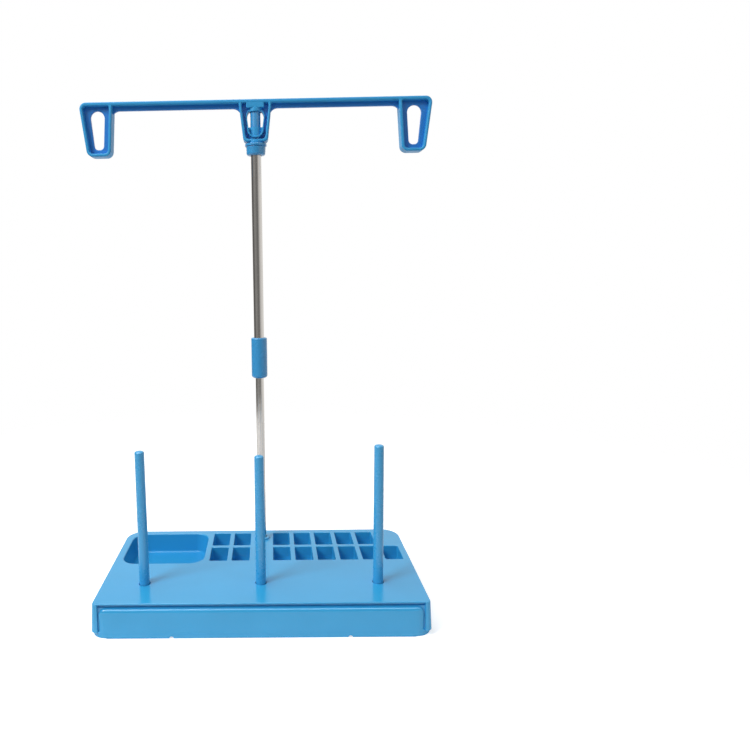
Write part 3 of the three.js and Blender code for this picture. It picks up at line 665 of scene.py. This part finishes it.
# %% Tray and sockets
TRAY_RADIUS, TRAY_DRAFT, TRAY_FLOOR, TRAY_FLOOR_ROUND = 11.0, 2.6, 8.6, 2.0
SOCKET_FLOOR, SOCKET_MOUTH, BOSS_FOOT = 4.7, 0.6, 3.0
PIN_SOCKET, MAST_SOCKET = 3.7, 3.45
PIN_BOSS, MAST_BOSS = 5.2, 5.8


def tray_ring(draw_in):
    """The tray's mouth drawn in on all sides; its corner radius shrinks by 0.7 of that."""
    left, right, front, back = TRAY_BOX
    box = (left + draw_in, right - draw_in, front + draw_in, back - draw_in)
    return corner_ring(*box, [TRAY_RADIUS - 0.7 * draw_in] * 4, 12)


def tray_patches(grow, top, floor, rim):
    """Rim round, drafted wall, floor round and floor; grow moves every wall outwards."""
    slope = TRAY_DRAFT / (PLATE_TOP - TRAY_FLOOR - TRAY_FLOOR_ROUND)
    start, bend = top - rim, floor + TRAY_FLOOR_ROUND
    mouth, foot = [slope * (PLATE_TOP - z) - grow for z in (start, bend)]
    profile = arc((mouth - rim, start), rim, 90, 0)
    profile += arc((foot + TRAY_FLOOR_ROUND, bend), TRAY_FLOOR_ROUND, 180, 270, 7)
    wall = patch(level_rings([(z, draw_in) for draw_in, z in profile], tray_ring), closed=True)
    return [wall, flat_patch(tray_ring(profile[-1][0]), [], floor)], tray_ring(profile[0][0])


def circle(axis, radius):
    angle = np.arange(96) / 96 * 2 * np.pi
    return np.column_stack([axis[0] + radius * np.cos(angle), axis[1] + radius * np.sin(angle)])


def boss(radius):
    """From the ceiling down to a rounded foot and in to the axis."""
    edge = arc((radius - 0.5, BOSS_FOOT + 0.5), 0.5, 0, -90)
    return [(radius, CEILING), (radius, BOSS_FOOT + 0.5), *edge, (0.0, BOSS_FOOT)]


def socket_foot(radius):
    """The end of a blind hole, with a bevel round its floor."""
    return [(radius, SOCKET_FLOOR + 0.3), (radius - 0.3, SOCKET_FLOOR), (0.0, SOCKET_FLOOR)]


# %% Put the base together
def base_patches():
    patches = [body_skin()]
    top_holes, ceiling_holes = [], []
    for x_left, y_middle in pocket_places():
        inner, loop = trough(x_left, y_middle, 0.0, PLATE_TOP - POCKET_RIM, 0.9)
        rim, edge = flared_rim(loop)
        outer, under = trough(x_left, y_middle, POCKET_WALL, CEILING, 1.6)
        patches += [inner, rim, outer]
        top_holes.append(edge)
        ceiling_holes.append(under[:, :2])
    for grow, top, floor, rim, holes in (
        (0.0, PLATE_TOP, TRAY_FLOOR, 0.9, top_holes),
        (1.3, CEILING, TRAY_FLOOR - 1.6, 0.0, ceiling_holes),
    ):
        walls, edge = tray_patches(grow, top, floor, rim)
        patches += walls
        holes.append(edge)
    for axis in PIN_AXES.values():
        mouth = arc((PIN_SOCKET + SOCKET_MOUTH, PLATE_TOP - SOCKET_MOUTH), SOCKET_MOUTH, 90, 180)
        hole = [*mouth, *socket_foot(PIN_SOCKET)]
        patches += [turned(profile, axis, looped=False) for profile in (hole, boss(PIN_BOSS))]
        top_holes.append(circle(axis, PIN_SOCKET + SOCKET_MOUTH))
        ceiling_holes.append(circle(axis, PIN_BOSS))
    collar_top = PLATE_TOP + 1.4
    raised = [
        *arc((MAST_BOSS + 0.4, PLATE_TOP + 0.4), 0.4, 270, 180),
        *arc((MAST_BOSS - 0.45, collar_top - 0.45), 0.45, 0, 90),
        *arc((MAST_SOCKET + 0.5, collar_top - 0.5), 0.5, 90, 180), *socket_foot(MAST_SOCKET),
    ]
    patches += [turned(profile, MAST_AXIS, looped=False) for profile in (raised, boss(MAST_BOSS))]
    top_holes.append(circle(MAST_AXIS, MAST_BOSS + 0.4))
    ceiling_holes.append(circle(MAST_AXIS, MAST_BOSS))
    crown = base_ring(-RIM_ROUND, FRONT_RADIUS - RIM_ROUND, BACK_RADIUS - RIM_ROUND)
    ceiling = base_ring(*inside_level(CEILING, -2.5, GROOVE_DEEP)[1:])
    patches.append(flat_patch(crown, top_holes, PLATE_TOP))
    patches.append(flat_patch(ceiling, ceiling_holes, CEILING))
    return patches


make_piece("base_moulding", base_patches(), "base", ["base"], BASE_PLASTIC)

make_piece("base_foot_lip", [lip_skin()], "base", [], BASE_PLASTIC)

# %% [markdown]
# ## The front panel
# Most of the front wall is covered by a raised panel with rounded upper corners. Its face leans
# out towards the foot and bends back below its top edge, where it catches the light. The outline
# is drawn in step by step while it comes forward, which rounds the edge.

# %% The raised panel
def panel_patches():
    """The outline shrinks by r (1 - cos a) while the face comes forward by r sin a."""
    half, top, radius, edge = 103.8, 19.2, 4.4, 1.2
    foot_reach, top_reach = 2.1, 1.3
    rear = -HALF_DEPTH + 1.2
    bend_start, bend_radius = 97.0, 12.0
    brow, brow_radius = 3.1, 5.6

    def face(outline):
        """Leans back with height; the ends follow an arc that fades upwards; the brow bends back."""
        x, z = np.abs(outline[:, 0]), outline[:, 1]
        past = np.maximum(x - bend_start, 0.0)
        end = (bend_radius - np.sqrt(bend_radius ** 2 - past ** 2)) * (1.0 - 0.6 * z / top)
        over = np.maximum(z - (top - brow), 0.0)
        bend = brow_radius - np.sqrt(brow_radius ** 2 - over ** 2)
        return -HALF_DEPTH - foot_reach + (foot_reach - top_reach) * z / top + end + bend

    def ring(shrink, behind):
        width, foot, corner = half - shrink, 0.05 + 0.25 * shrink, radius - shrink
        outline = corner_ring(-width, width, foot, top - shrink, [0.1, 0.1, corner, corner], 12)
        outline = along_foot_and_top(outline, width)
        y = np.full(len(outline), rear) if behind is None else face(outline) + behind
        return np.column_stack([outline[:, 0], y, outline[:, 1]])

    angle = np.linspace(0.0, np.pi / 2, 7)
    rings = [ring(0.0, None)] + [ring(edge * (1 - math.cos(a)), edge * (1 - math.sin(a))) for a in angle]
    rings += [ring(shrink, 0.0) for shrink in (1.6, 2.0, 2.4, 2.8, 3.2, 3.6)]
    walls = patch(np.stack(rings), closed=True)
    caps = []
    for cap, behind in ((rings[-1], 0.0), (rings[0], None)):
        points, faces = flat_region(cap[:, [0, 2]], [])
        depth = np.full(len(points), rear) if behind is None else face(points) + behind
        caps.append((np.column_stack([points[:, 0], depth, points[:, 1]]), faces))
    return [walls, *caps]


def along_foot_and_top(outline, half):
    """Adds points where the face starts to bend near its ends, and round the notches in the foot."""
    stations = np.linspace(half - 10.0, half - 5.0, 6)
    corner = len(outline) // 4
    foot_z, top_z = outline[corner, 1], outline[2 * corner + corner - 1, 1]
    x = np.concatenate([-stations[::-1], notch_stations(), stations])
    foot = np.column_stack([x, np.maximum(foot_z, notch_rise(x))])
    top = np.column_stack([x[::-1], np.full(len(x), top_z)])
    return np.concatenate([outline[:corner], foot, outline[corner:3 * corner], top, outline[3 * corner:]])


make_piece("base_front_panel", panel_patches(), "base", [], BASE_PLASTIC)

# %% [markdown]
# ## The thread guide bar
# The guide is one flat moulding seen edge-on from above: a wide flange on a thin web, with an
# eyelet frame at each end and a tapered bracket in the middle. It is made as flat plates of
# different depth that share a middle plane: the rims, the web, and the raised lip round the
# window. Every outline is a polygon with rounded corners, and drawing it in by a small amount
# while the wall comes up gives each plate its soft edges.

# %% Outlines that can be drawn in or out
BAR_TOP = 353.9
BAR_END = 127.3
BAR_MIDDLE = 42.4


def rounded_outline(corners, grow=0.0):
    """Moves every side outwards by grow, meets the moved sides again, and rounds by radius +- grow."""
    corners = np.array(corners, dtype=float)
    here, radius = corners[:, :2], corners[:, 2]
    area = (here[:, 0] * np.roll(here[:, 1], -1) - np.roll(here[:, 0], -1) * here[:, 1]).sum()
    if area < 0:
        here, radius = here[::-1], radius[::-1]
    side = np.roll(here, -1, axis=0) - here
    side /= np.linalg.norm(side, axis=1, keepdims=True)
    normal = np.column_stack([side[:, 1], -side[:, 0]])
    before, after = np.roll(normal, 1, axis=0), normal
    last = np.roll(side, 1, axis=0)
    cross = last[:, 0] * side[:, 1] - last[:, 1] * side[:, 0]
    shift = (before + after) / (1 + (before * after).sum(axis=1))[:, None]
    moved = here + grow * shift
    sized = np.maximum(radius + np.sign(cross) * grow, 0.05)
    return softened(np.column_stack([moved, sized]), 12)


def moulded_plate(outline, holes, half_depth, edge=0.45, middle=BAR_MIDDLE):
    """A plate of 2 * half_depth about the middle plane, with all edges rounded by the same radius."""
    angle = np.linspace(0.0, np.pi / 2, 5)
    inset = edge * (1 - np.cos(angle))
    depth = half_depth - edge + edge * np.sin(angle)
    inset = np.concatenate([inset[::-1], inset])
    depth = np.concatenate([depth[::-1], -depth])
    patches = []
    for corners, sign in [(outline, -1.0), *[(hole, 1.0) for hole in holes]]:
        rings = [rounded_outline(corners, sign * amount) for amount in inset]
        rows = [np.insert(ring, 1, middle + away, axis=1) for ring, away in zip(rings, depth)]
        patches.append(patch(np.stack(rows), closed=True))
    outer = rounded_outline(outline, -edge)
    inner = [rounded_outline(hole, edge) for hole in holes]
    for y in (middle - half_depth, middle + half_depth):
        patches.append(flat_patch(outer, inner, y, standing=True))
    return patches


def mirrored(corners):
    return [(-x, z, radius) for x, z, radius in corners][::-1]


# %% [markdown]
# ## Eyelet frames, slots and span
# The frames hang from the flange, a little narrower at the foot. Each has a slot for the thread
# in its web, and the slot's edges are rounded so that nothing sharp touches it.

# %% Outlines of the bar
FLANGE, SPAN, RIM = 2.5, 5.6, 2.2
BAR_HALF_DEPTH = 5.0
EYE_DROP, EYE_TOP, EYE_FOOT = 38.0, 24.5, 17.0
HUB_DROP, HUB_TOP, HUB_FOOT = 29.5, 11.8, 8.8


def eye_inner(drop):
    """The frame's inner side leans outwards by 2.7 from the top to the foot."""
    return BAR_END - EYE_TOP + 2.7 * drop / EYE_DROP


def silhouette(span_height, fillet, inset=0.0):
    """Half an outline, then its mirror image. An inset draws it in."""
    frame_foot = eye_inner(EYE_DROP)
    half = [
        (BAR_END - inset, BAR_TOP - inset, 4.6 - inset),
        (frame_foot + EYE_FOOT - inset, BAR_TOP - EYE_DROP + inset, 4.8 - inset),
        (frame_foot + inset, BAR_TOP - EYE_DROP + inset, 4.8 - inset),
        (eye_inner(span_height) + inset, BAR_TOP - span_height, fillet),
        (HUB_TOP - inset, BAR_TOP - span_height, fillet),
        (HUB_FOOT - inset, BAR_TOP - HUB_DROP + inset, 3.0 - inset),
    ]
    return half + mirrored(half)


def eye_recess():
    lean = (EYE_TOP - EYE_FOOT - 2.7) / EYE_DROP
    outer = lambda drop: BAR_END - RIM - lean * drop
    foot = EYE_DROP - RIM
    return [
        (eye_inner(FLANGE) + RIM, BAR_TOP - FLANGE, 1.2), (eye_inner(foot) + RIM, BAR_TOP - foot, 2.6),
        (outer(foot), BAR_TOP - foot, 2.6), (outer(FLANGE), BAR_TOP - FLANGE, 2.4),
    ]


def slot_outline():
    foot, top = EYE_DROP - 5.3, EYE_DROP - 32.6
    inner_foot, inner_top = eye_inner(foot) + 6.0, eye_inner(top) + 6.0
    return [
        (inner_top, BAR_TOP - top, 5.1), (inner_foot, BAR_TOP - foot, 3.0),
        (inner_foot + 6.6, BAR_TOP - foot, 3.0), (inner_top + 11.1, BAR_TOP - top, 5.1),
    ]


def hub_recess():
    lean = (HUB_TOP - HUB_FOOT) / (HUB_DROP - SPAN)
    foot = HUB_DROP - 2.0
    foot_half = HUB_TOP - RIM - lean * (foot - SPAN)
    half = [
        (HUB_TOP - RIM, BAR_TOP - FLANGE, 0.6), (HUB_TOP - RIM, BAR_TOP - SPAN, 4.0),
        (foot_half, BAR_TOP - foot, 2.4),
    ]
    return half + mirrored(half)


WINDOW_HALF, WINDOW_TOP, WINDOW_FOOT = 6.8, BAR_TOP - 6.5, BAR_TOP - HUB_DROP + 3.8
WINDOW_TAPER, WINDOW_FOOT_RADIUS = 0.62, 4.6
CUP_TOP = BAR_TOP - HUB_DROP + 10.3


def window_outline(grow):
    half = WINDOW_HALF + grow
    side = [
        (half, WINDOW_TOP + grow, half * 0.8),
        (WINDOW_HALF * WINDOW_TAPER + grow, WINDOW_FOOT - grow, WINDOW_FOOT_RADIUS + grow),
    ]
    return side + mirrored(side)


# %% Put the bar together
def bar_patches():
    both = lambda corners: [corners, mirrored(corners)]
    recesses, openings = [*both(eye_recess()), hub_recess()], [*both(slot_outline()), window_outline(0.0)]
    frame_plate = moulded_plate(silhouette(FLANGE, 0.6), recesses, BAR_HALF_DEPTH, 0.8)
    web = moulded_plate(silhouette(SPAN, 6.0, 0.8), openings, 1.2)
    window_lip = moulded_plate(window_outline(1.0), [window_outline(0.0)], 2.7, 0.4)
    block_side = [(6.4, BAR_TOP - 1.2, 0.3), (6.4, BAR_TOP - 5.9, 0.7)]
    block = moulded_plate(block_side + mirrored(block_side), [], BAR_HALF_DEPTH - 0.15, 0.5)
    return frame_plate + window_lip + block, web


bar_rims, bar_web = bar_patches()
make_piece("thread_guide_bar_moulded", bar_rims, "guide", ["thread_guide_bar"], BAR_PLASTIC)
# The web takes the darker plastic: painted shade in its recess.
make_piece("thread_guide_bar_web", bar_web, "guide", [], SHADED_WEB_PLASTIC)

# %% [markdown]
# ## Bearing and neck of the guide
# The collar's peg turns in a cup at the bracket's foot and in a short neck under the flange. The
# cup closes the lower part of the window, in front and behind. Its skin bulges where it follows
# the peg, and a raised border shaped like a U frames it. Above it the peg is seen in the window.

# %% The cup, its border, the ring below and the neck
BORE, CUP_BULGE, CUP_LEAST = 4.0, 4.7, 2.9


def cup_outline(grow):
    """The window's foot, cut off at the cup's top, where the sides have opened by an even share."""
    share = (CUP_TOP - WINDOW_FOOT) / (WINDOW_TOP - WINDOW_FOOT)
    half = WINDOW_HALF * (WINDOW_TAPER + (1 - WINDOW_TAPER) * share) + grow
    side = [(half, CUP_TOP, 0.35), window_outline(grow)[1]]
    return side + mirrored(side)


def border_outline():
    """Down the outer side of the U and back up its inner side."""
    outer, inner = cup_outline(1.0), cup_outline(0.0)
    return [*outer, (inner[3][0], CUP_TOP, 0.3), inner[2], inner[1], (inner[0][0], CUP_TOP, 0.3)]


def cup_shell(side):
    """Front depth = sqrt(CUP_BULGE^2 - x^2), never less than CUP_LEAST; behind it the bore's arc."""
    z = WINDOW_FOOT + (CUP_TOP - 0.05 - WINDOW_FOOT) * np.linspace(0.15, 1.0, 25) ** 2
    edge = rounded_outline(window_outline(0.0))
    edge = edge[(edge[:, 0] > 0) & (edge[:, 1] < CUP_TOP + 4.0)]
    edge = edge[np.argsort(edge[:, 1])]
    half = np.interp(z, edge[:, 1], edge[:, 0]) + 0.3
    x = half[:, None] * np.linspace(-1.0, 1.0, 49)
    z = np.broadcast_to(z[:, None], x.shape)
    front = np.sqrt(np.maximum(CUP_BULGE ** 2 - x ** 2, CUP_LEAST ** 2))
    back = np.sqrt(np.maximum(BORE ** 2 - x ** 2, 0.05 ** 2))
    skin, bore = [np.stack([x, BAR_MIDDLE + side * depth, z], axis=-1) for depth in (front, back)]
    ends = [np.stack([skin[i], bore[i]]) for i in (0, -1)]
    sides = [np.stack([skin[:, i], bore[:, i]]) for i in (0, -1)]
    return [patch(grid) for grid in (skin, bore, *ends, *sides)]


def cup_patches():
    patches = []
    for side in (-1, 1):
        patches += cup_shell(side)
        patches += moulded_plate(border_outline(), [], 1.6, 0.25, BAR_MIDDLE + side * 4.0)
    return patches


def bearing_ring(outer, foot, top):
    return turned(softened([
        (BORE, foot, 0.2), (outer, foot, 0.35), (outer, top, 0.3), (BORE, top, 0.2),
    ], 4), MAST_AXIS)


HUB_BOTTOM = BAR_TOP - HUB_DROP
make_piece("guide_bearing", [
    *cup_patches(), bearing_ring(5.8, HUB_BOTTOM - 0.7, HUB_BOTTOM + 1.0),
    bearing_ring(5.0, BAR_TOP - 8.3, BAR_TOP - 5.6),
], "guide", [], BAR_PLASTIC)

# %% [markdown]
# ## Floor, background and lights
# The stand is photographed on white paper under three soft lamps. The floor takes a faint
# shadow and is otherwise white. The room is white to the camera and to polished steel, and
# dimmer as a light, so that the lamps give the plastic its shape. Two things of the studio are
# seen only in reflections: a round wall that streaks the steel, and a card above the front that
# draws the light line along the top of the panel.

# %% Floor and world
FLOOR_REACH = 0.7
SQUARE = ((-1, -1), (1, -1), (1, 1), (-1, 1))


def white_floor():
    """A glow, stronger for camera rays, on a pale matt floor that fades out with distance."""
    material, tree, add = new_material("white_paper")
    rays = add("ShaderNodeLightPath")
    seen = combine(tree, add, "ADD", rays.outputs["Is Camera Ray"], rays.outputs["Is Transmission Ray"])
    paper = add("ShaderNodeBsdfDiffuse", Color=(0.78, 0.78, 0.78, 1.0))
    level = ramp(add, seen, To_Min=0.2, To_Max=0.62)
    glow = add("ShaderNodeEmission", Color=(1.0, 1.0, 1.0, 1.0), Strength=level)
    both = join(tree, add("ShaderNodeAddShader"), paper.outputs[0], glow.outputs[0])
    place = add("ShaderNodeTexCoord").outputs["Object"]
    distance = add("ShaderNodeVectorMath", [("operation", "LENGTH")], Vector=place)
    nearer = ramp(add, rays.outputs["Is Diffuse Ray"], To_Min=1.0, To_Max=1.9)
    scaled = combine(tree, add, "MULTIPLY", distance.outputs["Value"], nearer)
    fade = ramp(add, scaled, [("interpolation_type", "SMOOTHSTEP")], From_Min=0.35, From_Max=0.62)
    clear = add("ShaderNodeBsdfTransparent").outputs[0]
    surface = join(tree, add("ShaderNodeMixShader"), fade, both, clear)
    add("ShaderNodeOutputMaterial", Surface=surface)
    corners = [(x * FLOOR_REACH, y * FLOOR_REACH, 0.0) for x, y in SQUARE]
    floor = mesh_object("floor", corners, [(0, 1, 2, 3)], material)


def white_room(light_strength):
    """Strength is 1 for rays that see the room, and light_strength for rays that only carry light."""
    world = bpy.data.worlds.new("white_room")
    bpy.context.scene.world = world
    world.use_nodes = True
    tree = world.node_tree
    add = node_tools(tree)
    rays = add("ShaderNodeLightPath").outputs
    seen = combine(tree, add, "ADD", rays["Is Camera Ray"], rays["Is Glossy Ray"])
    seen = combine(tree, add, "ADD", seen, rays["Is Transmission Ray"])
    strength = ramp(add, seen, To_Min=light_strength)
    room = add("ShaderNodeBackground", Color=(1.0, 1.0, 1.0, 1.0), Strength=strength)
    add("ShaderNodeOutputWorld", Surface=room.outputs[0])


def mirrored_only(name, points, faces, material):
    """A thing of the studio that only mirror rays see."""
    card = mesh_object(name, points, faces, material)
    card.visible_camera = card.visible_diffuse = card.visible_shadow = card.visible_transmission = False


def reflection_wall(radius, height):
    """A round wall that only mirror rays see. Its brightness follows the turn about the middle."""
    material, tree, add = new_material("reflection_wall")
    place = add("ShaderNodeTexCoord").outputs["Object"]
    turn = add("ShaderNodeTexGradient", [("gradient_type", "RADIAL")], Vector=place)
    bands = add("ShaderNodeValToRGB", Fac=turn.outputs["Fac"])
    stops = [
        (0.0, 0.15), (0.053, 0.30), (0.114, 0.34), (0.20, 0.26), (0.278, 0.19), (0.33, 0.30),
        (0.386, 0.70), (0.52, 1.0), (0.83, 1.0), (0.88, 0.14),
    ]
    elements = bands.color_ramp.elements
    while len(elements) < len(stops):
        elements.new(0.5)
    for element, (at, grey) in zip(elements, stops):
        element.position = at
        element.color = (grey, grey * 0.985, grey * 0.965, 1.0)
    glow = add("ShaderNodeEmission", Color=bands.outputs["Color"])
    add("ShaderNodeOutputMaterial", Surface=glow.outputs[0])
    angle = np.arange(64) / 64 * 2 * np.pi
    x, y = np.tile(radius * np.cos(angle), (2, 1)), np.tile(radius * np.sin(angle), (2, 1))
    z = np.broadcast_to(np.array([[-0.03], [height]]), x.shape)
    points, faces = patch(np.stack([x, y, z], axis=-1), closed=True)
    mirrored_only("reflection_wall", points.tolist(), faces.tolist(), material)


def front_card(strength, place, half_width, half_height):
    """A white card above the front, square to the line from the base; forward edges mirror it."""
    material, tree, add = new_material("front_card")
    add("ShaderNodeOutputMaterial", Surface=add("ShaderNodeEmission", Strength=strength).outputs[0])
    middle, across = Vector(place), Vector((half_width, 0.0, 0.0))
    along = middle.cross(across).normalized() * half_height
    corners = [middle + x * across + z * along for x, z in SQUARE]
    mirrored_only("front_card", corners, [(0, 1, 2, 3)], material)


def soft_light(name, place, target, size, power):
    """A square lamp at place that faces target, both in metres."""
    data = bpy.data.lights.new(name, "AREA")
    data.shape = "SQUARE"
    data.size = size
    data.energy = power
    lamp = bpy.data.objects.new(name, data)
    aim = (Vector(target) - Vector(place)).to_track_quat("-Z", "Y")
    lamp.matrix_world = Matrix.Translation(place) @ aim.to_matrix().to_4x4()
    bpy.context.scene.collection.objects.link(lamp)


white_floor()
white_room(0.25)
reflection_wall(0.68, 0.55)
front_card(5.0, (0.0, -0.39, 0.73), 0.6, 0.12)
soft_light("top_lamp", (-0.32, 0.1, 1.26), (0.0, 0.0, 0.05), 0.6, 6.4)
soft_light("left_lamp", (-0.75, -0.55, 0.95), (0.0, 0.0, 0.1), 0.46, 10.3)
soft_light("right_lamp", (0.9, -0.5, 0.6), (0.0, 0.0, 0.12), 0.5, 1.0)
bpy.context.scene.view_settings.view_transform = "Standard"
